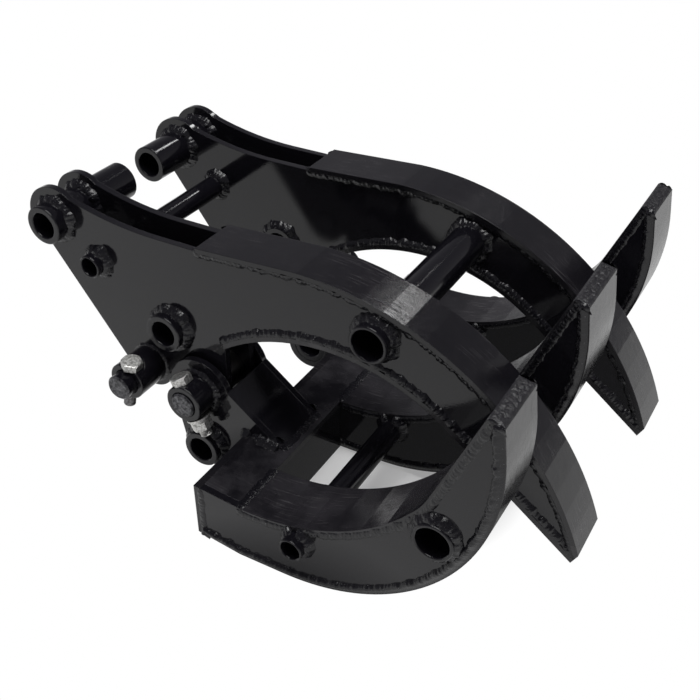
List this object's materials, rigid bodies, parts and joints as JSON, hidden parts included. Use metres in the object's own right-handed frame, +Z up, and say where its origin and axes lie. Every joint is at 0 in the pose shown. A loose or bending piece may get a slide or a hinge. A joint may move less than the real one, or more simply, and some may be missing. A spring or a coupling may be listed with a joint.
{
  "type": "log grapple",
  "caption": "Excavator log grapple: arched box arms hinged over box tines on a cross beam, with tube pin mounts for the dipper, bucket link and stay bar.",
  "frame": {"origin": "on the ground under the middle of the part, at the centre of its bounding box in plan", "axes": "+X from the hitch end towards the jaw tips, +Y along the hinge, +Z up"},
  "size_m": [0.6742, 0.53, 0.3108],
  "materials": {
    "black_paint": "gloss black paint over welded steel plate",
    "zinc_bolts": "zinc plated",
    "bare_pin_steel": "cut bar ends under thin black paint",
    "bush_steel": "turned steel"
  },
  "bodies": {
    "lower_jaw": {"beam_back_plate": "black_paint", "beam_top_plate": "black_paint", "far_beam_bottom_plate": "black_paint", "far_beam_front_plate": "black_paint", "far_ear_inner_plate": "black_paint", "far_ear_outer_plate": "black_paint", "far_hinge_boss": "black_paint", "far_hinge_pin": "bare_pin_steel", "far_stay_tube": "black_paint", "far_tine_inner_plate": "black_paint", "far_tine_outer_plate": "black_paint", "far_tine_shoe": "black_paint", "far_tine_top_cover": "black_paint", "far_tip_tube": "black_paint", "hinge_bolts": "zinc_bolts", "hinge_nuts": "zinc_bolts", "hinge_washers": "zinc_bolts", "middle_tine_far_plate": "black_paint", "middle_tine_near_plate": "black_paint", "middle_tine_shoe": "black_paint", "middle_tine_top_cover": "black_paint", "middle_tip_tube": "black_paint", "near_beam_bottom_plate": "black_paint", "near_beam_front_plate": "black_paint", "near_ear_inner_plate": "black_paint", "near_ear_outer_plate": "black_paint", "near_hinge_boss": "black_paint", "near_hinge_pin": "bare_pin_steel", "near_stay_tube": "black_paint", "near_tine_inner_plate": "black_paint", "near_tine_outer_plate": "black_paint", "near_tine_shoe": "black_paint", "near_tine_top_cover": "black_paint", "near_tip_tube": "black_paint", "tie_tube": "black_paint"},
    "upper_jaw": {"corner_bolts": "zinc_bolts", "far_arm_arch_cover": "black_paint", "far_arm_inner_plate": "black_paint", "far_arm_outer_plate": "black_paint", "far_arm_top_cover": "black_paint", "far_corner_boss": "black_paint", "far_corner_pin": "bare_pin_steel", "far_dipper_tube": "black_paint", "far_hinge_bush": "bush_steel", "far_link_tube": "black_paint", "large_cross_tube": "black_paint", "near_arm_arch_cover": "black_paint", "near_arm_inner_plate": "black_paint", "near_arm_outer_plate": "black_paint", "near_arm_top_cover": "black_paint", "near_corner_boss": "black_paint", "near_corner_pin": "bare_pin_steel", "near_dipper_tube": "black_paint", "near_hinge_bush": "bush_steel", "near_link_tube": "black_paint", "small_cross_tube": "black_paint"}
  },
  "joints": [
    {"name": "jaw_hinge", "type": "hinge", "parent": "lower_jaw", "child": "upper_jaw", "pos_m": [-0.1083, 0, 0.112], "axis": [0, 1, 0], "range_deg": [-50, 5]}
  ]
}
